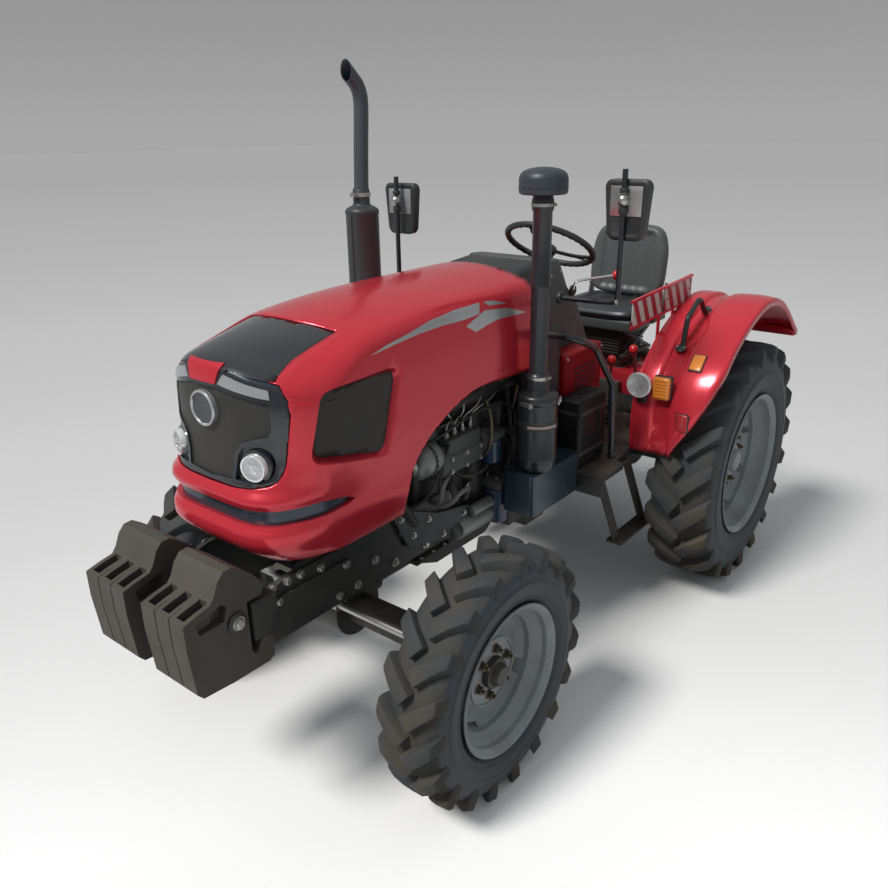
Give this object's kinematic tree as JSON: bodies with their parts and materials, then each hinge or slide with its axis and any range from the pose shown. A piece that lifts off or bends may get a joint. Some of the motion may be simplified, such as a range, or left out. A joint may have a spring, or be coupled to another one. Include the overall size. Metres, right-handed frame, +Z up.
{
  "type": "farm tractor",
  "caption": "Compact four-wheel-drive farm tractor: flip-up hood, steered front wheels, front weights, open driver's station and rear three-point hitch.",
  "frame": {"origin": "on the ground, midway between the ends, on the centreline", "axes": "-Y is the front, +X the driver's left, +Z up"},
  "size_m": [1.59, 3.382, 2.2282],
  "materials": {
    "red_paint": "gloss",
    "black_gloss": "gloss",
    "black_plastic": "matte",
    "chassis_paint": "satin",
    "engine_casting": "rough",
    "weight_casting": "rough",
    "bare_steel": "satin",
    "tyre": "matte",
    "rim_paint": "satin",
    "seat_vinyl": "satin",
    "lamp": "clear"
  },
  "bodies": {
    "root": {"frame_rails": "chassis_paint", "front_weights": "weight_casting", "front_axle": "chassis_paint", "engine": "engine_casting", "radiator": "black_plastic", "battery_box": "black_plastic", "gearbox": "chassis_paint", "rear_axle": "chassis_paint", "drive_shaft": "chassis_paint", "air_cleaner": "black_plastic", "exhaust": "black_plastic", "platform": "chassis_paint", "fender_left": "red_paint", "fender_right": "red_paint", "fender_lamps": "lamp", "handrails": "black_gloss", "console": "black_plastic", "side_covers": "red_paint", "side_tanks": "black_plastic", "steering_column": "black_plastic", "levers": "bare_steel", "seat_base": "black_plastic", "seat_cushion": "seat_vinyl", "seat_back": "seat_vinyl", "mirrors": "black_plastic", "drawbar": "chassis_paint", "pto_shaft": "bare_steel", "top_link": "bare_steel"},
    "hood": {"hood_shell": "red_paint", "hood_nose": "black_gloss", "headlamps": "lamp", "hood_screens": "black_plastic"},
    "knuckle_left": {"knuckle_left": "chassis_paint"},
    "knuckle_right": {"knuckle_right": "chassis_paint"},
    "tie_rod": {"tie_rod": "bare_steel"},
    "steering_wheel": {"steering_wheel": "black_plastic"},
    "lift_arms": {"lift_arms": "chassis_paint"},
    "lower_link_left": {"lower_link_left": "chassis_paint"},
    "lower_link_right": {"lower_link_right": "chassis_paint"},
    "lift_rod_left": {"lift_rod_left": "bare_steel"},
    "lift_rod_right": {"lift_rod_right": "bare_steel"},
    "wheel_front_left": {"tyre_front_left": "tyre", "rim_front_left": "rim_paint"},
    "wheel_front_right": {"tyre_front_right": "tyre", "rim_front_right": "rim_paint"},
    "wheel_rear_left": {"tyre_rear_left": "tyre", "rim_rear_left": "rim_paint"},
    "wheel_rear_right": {"tyre_rear_right": "tyre", "rim_rear_right": "rim_paint"}
  },
  "joints": [
    {"name": "hood_lift", "type": "hinge", "parent": "root", "child": "hood", "pos_m": [0, -0.19, 1.515], "axis": [-1, 0, 0], "range_deg": [0, 50]},
    {"name": "steer", "type": "hinge", "parent": "root", "child": "knuckle_left", "pos_m": [0.455, -0.9, 0.418], "axis": [0, 0, 1], "range_deg": [-38, 38]},
    {"name": "steer_right", "type": "hinge", "parent": "root", "child": "knuckle_right", "pos_m": [-0.455, -0.9, 0.418], "axis": [0, 0, 1], "range_deg": [-38, 38]},
    {"name": "tie_rod_end", "type": "hinge", "parent": "knuckle_left", "child": "tie_rod", "pos_m": [0.455, -1.085, 0.574], "axis": [0, 0, 1], "range_deg": [-38, 38]},
    {"name": "steering_wheel_turn", "type": "hinge", "parent": "root", "child": "steering_wheel", "pos_m": [0, 0.384, 1.53], "axis": [0, 0.5299, 0.848], "range_deg": [-500, 500]},
    {"name": "hitch_lift", "type": "hinge", "parent": "root", "child": "lift_arms", "pos_m": [0, 1.15, 0.88], "axis": [1, 0, 0], "range_deg": [-8, 42]},
    {"name": "lower_link_left_swing", "type": "hinge", "parent": "root", "child": "lower_link_left", "pos_m": [0.236, 1.06, 0.47], "axis": [1, 0, 0], "range_deg": [-8, 42]},
    {"name": "lift_rod_left_swing", "type": "hinge", "parent": "lift_arms", "child": "lift_rod_left", "pos_m": [0.324, 1.44, 0.83], "axis": [1, 0, 0], "range_deg": [-42, 8]},
    {"name": "lower_link_right_swing", "type": "hinge", "parent": "root", "child": "lower_link_right", "pos_m": [-0.236, 1.06, 0.47], "axis": [1, 0, 0], "range_deg": [-8, 42]},
    {"name": "lift_rod_right_swing", "type": "hinge", "parent": "lift_arms", "child": "lift_rod_right", "pos_m": [-0.324, 1.44, 0.83], "axis": [1, 0, 0], "range_deg": [-42, 8]},
    {"name": "front_left_roll", "type": "hinge", "parent": "knuckle_left", "child": "wheel_front_left", "pos_m": [0.6, -0.9, 0.418], "axis": [1, 0, 0], "continuous": true},
    {"name": "rear_left_roll", "type": "hinge", "parent": "root", "child": "wheel_rear_left", "pos_m": [0.655, 0.9, 0.55], "axis": [1, 0, 0], "continuous": true},
    {"name": "front_right_roll", "type": "hinge", "parent": "knuckle_right", "child": "wheel_front_right", "pos_m": [-0.6, -0.9, 0.418], "axis": [1, 0, 0], "continuous": true},
    {"name": "rear_right_roll", "type": "hinge", "parent": "root", "child": "wheel_rear_right", "pos_m": [-0.655, 0.9, 0.55], "axis": [1, 0, 0], "continuous": true}
  ],
  "couplings": [
    {"joint": "steer_right", "follows": "steer", "ratio": 1},
    {"joint": "tie_rod_end", "follows": "steer", "ratio": -1},
    {"joint": "steering_wheel_turn", "follows": "steer", "ratio": 13},
    {"joint": "lower_link_left_swing", "follows": "hitch_lift", "ratio": 1},
    {"joint": "lift_rod_left_swing", "follows": "hitch_lift", "ratio": -1},
    {"joint": "lower_link_right_swing", "follows": "hitch_lift", "ratio": 1},
    {"joint": "lift_rod_right_swing", "follows": "hitch_lift", "ratio": -1}
  ]
}
